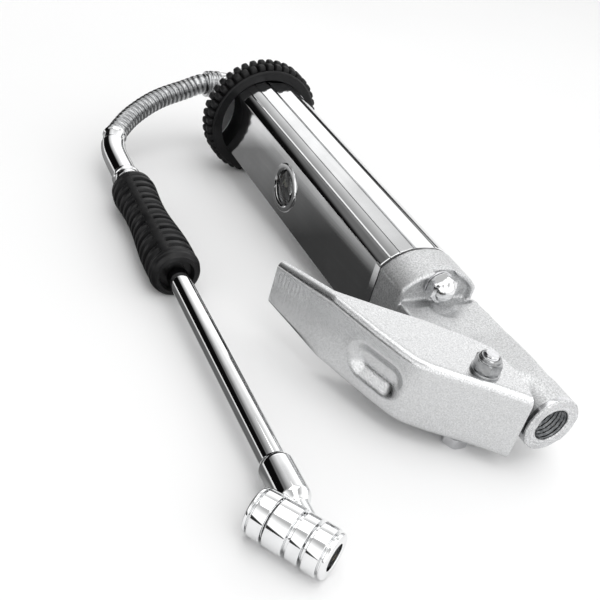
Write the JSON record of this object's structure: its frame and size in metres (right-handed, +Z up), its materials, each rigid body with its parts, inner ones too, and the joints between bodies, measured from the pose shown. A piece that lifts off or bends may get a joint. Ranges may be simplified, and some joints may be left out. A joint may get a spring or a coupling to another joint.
{
  "type": "tyre inflator with gauge",
  "caption": "Hand tyre inflator: cast trigger valve with a threaded air inlet, polished gauge barrel with a lens, rubber guard ring, armoured hose, gripped lance and two-way chuck.",
  "frame": {"origin": "centre of the inlet thread's mouth", "axes": "+X runs along the tool towards the hose end, level with the bench; +Y points to the lever and the lens; +Z is up from the bench. The tool lies at rest on its guard ring and its pivot bolt, so its own axis climbs 3.49 degrees towards the hose end."},
  "size_m": [0.2857, 0.1269, 0.0576],
  "materials": {
    "zinc": "zinc plated casting with a fine sandy grain",
    "zinc_sheet": "zinc plated pressed sheet",
    "chrome": "bright chrome plate",
    "polished_alloy": "polished aluminium extrusion",
    "steel": "zinc plated steel",
    "brass": "turned brass",
    "rubber": "matt black rubber",
    "lens": "clear moulded lens",
    "scale": "cream scale drum",
    "armour": "steel spiral armour over black hose"
  },
  "bodies": {
    "tool": {"valve_body": "zinc", "inlet_filter": "brass", "valve_seat": "brass", "valve_spring": "steel", "valve_cap": "brass", "spindle_seals": "rubber", "pivot_bolt": "steel", "pivot_nut": "steel", "pivot_washers": "steel", "pivot_bush": "brass", "gauge_barrel": "polished_alloy", "front_gasket": "rubber", "rear_gasket": "rubber", "end_cap": "zinc", "rubber_guard": "rubber", "tie_rods": "steel", "domed_nuts": "chrome", "rod_washers": "steel", "barrel_screw": "steel", "lens_bezel": "chrome", "lens": "lens", "lens_gasket": "rubber", "gauge_cylinder": "brass", "gauge_spring": "steel", "guide_rod": "steel", "hose_elbow": "steel", "hose_ferrule": "steel", "hose": "armour", "lance_bend": "chrome", "lance_sleeve": "zinc", "lance_tube": "chrome", "grip": "rubber", "chuck_adapter": "chrome", "chuck_body": "chrome", "chuck_caps": "chrome", "chuck_seals": "rubber", "chuck_springs": "steel"},
    "lever": {"lever": "zinc_sheet"},
    "spindle": {"spindle": "steel", "valve_disc": "rubber"},
    "gauge": {"gauge_piston": "brass", "piston_seal": "rubber", "scale_drum": "scale"},
    "pin_front": {"chuck_pin_front": "brass"},
    "pin_rear": {"chuck_pin_rear": "brass"}
  },
  "joints": [
    {"name": "lever_squeeze", "type": "hinge", "parent": "tool", "child": "lever", "pos_m": [0.01537, 0.022, 0.00094], "axis": [0.0609, 0, -0.9981], "range_deg": [0, 8.5], "stiffness_Nm_per_rad": 0.4, "springref_deg": -20.05},
    {"name": "spindle_push", "type": "slide", "parent": "tool", "child": "spindle", "axis": [0, -1, 0], "range_m": [0, 0.0035], "deforming": ["valve_spring"]},
    {"name": "gauge_slide", "type": "slide", "parent": "tool", "child": "gauge", "axis": [0.9981, 0, 0.0609], "range_m": [0, 0.03], "stiffness_N_per_m": 60, "springref_m": -0.01, "deforming": ["gauge_spring"]},
    {"name": "chuck_pin_front_push", "type": "slide", "parent": "tool", "child": "pin_front", "axis": [0.8387, 0.5446, 0], "range_m": [0, 0.0016], "stiffness_N_per_m": 400, "springref_m": -0.0005},
    {"name": "chuck_pin_rear_push", "type": "slide", "parent": "tool", "child": "pin_rear", "axis": [-0.8387, -0.5446, 0], "range_m": [0, 0.0016], "stiffness_N_per_m": 400, "springref_m": -0.0005, "deforming": ["chuck_springs"]}
  ],
  "couplings": [
    {"joint": "spindle_push", "follows": "lever_squeeze", "m_per_rad": 0.0236}
  ]
}
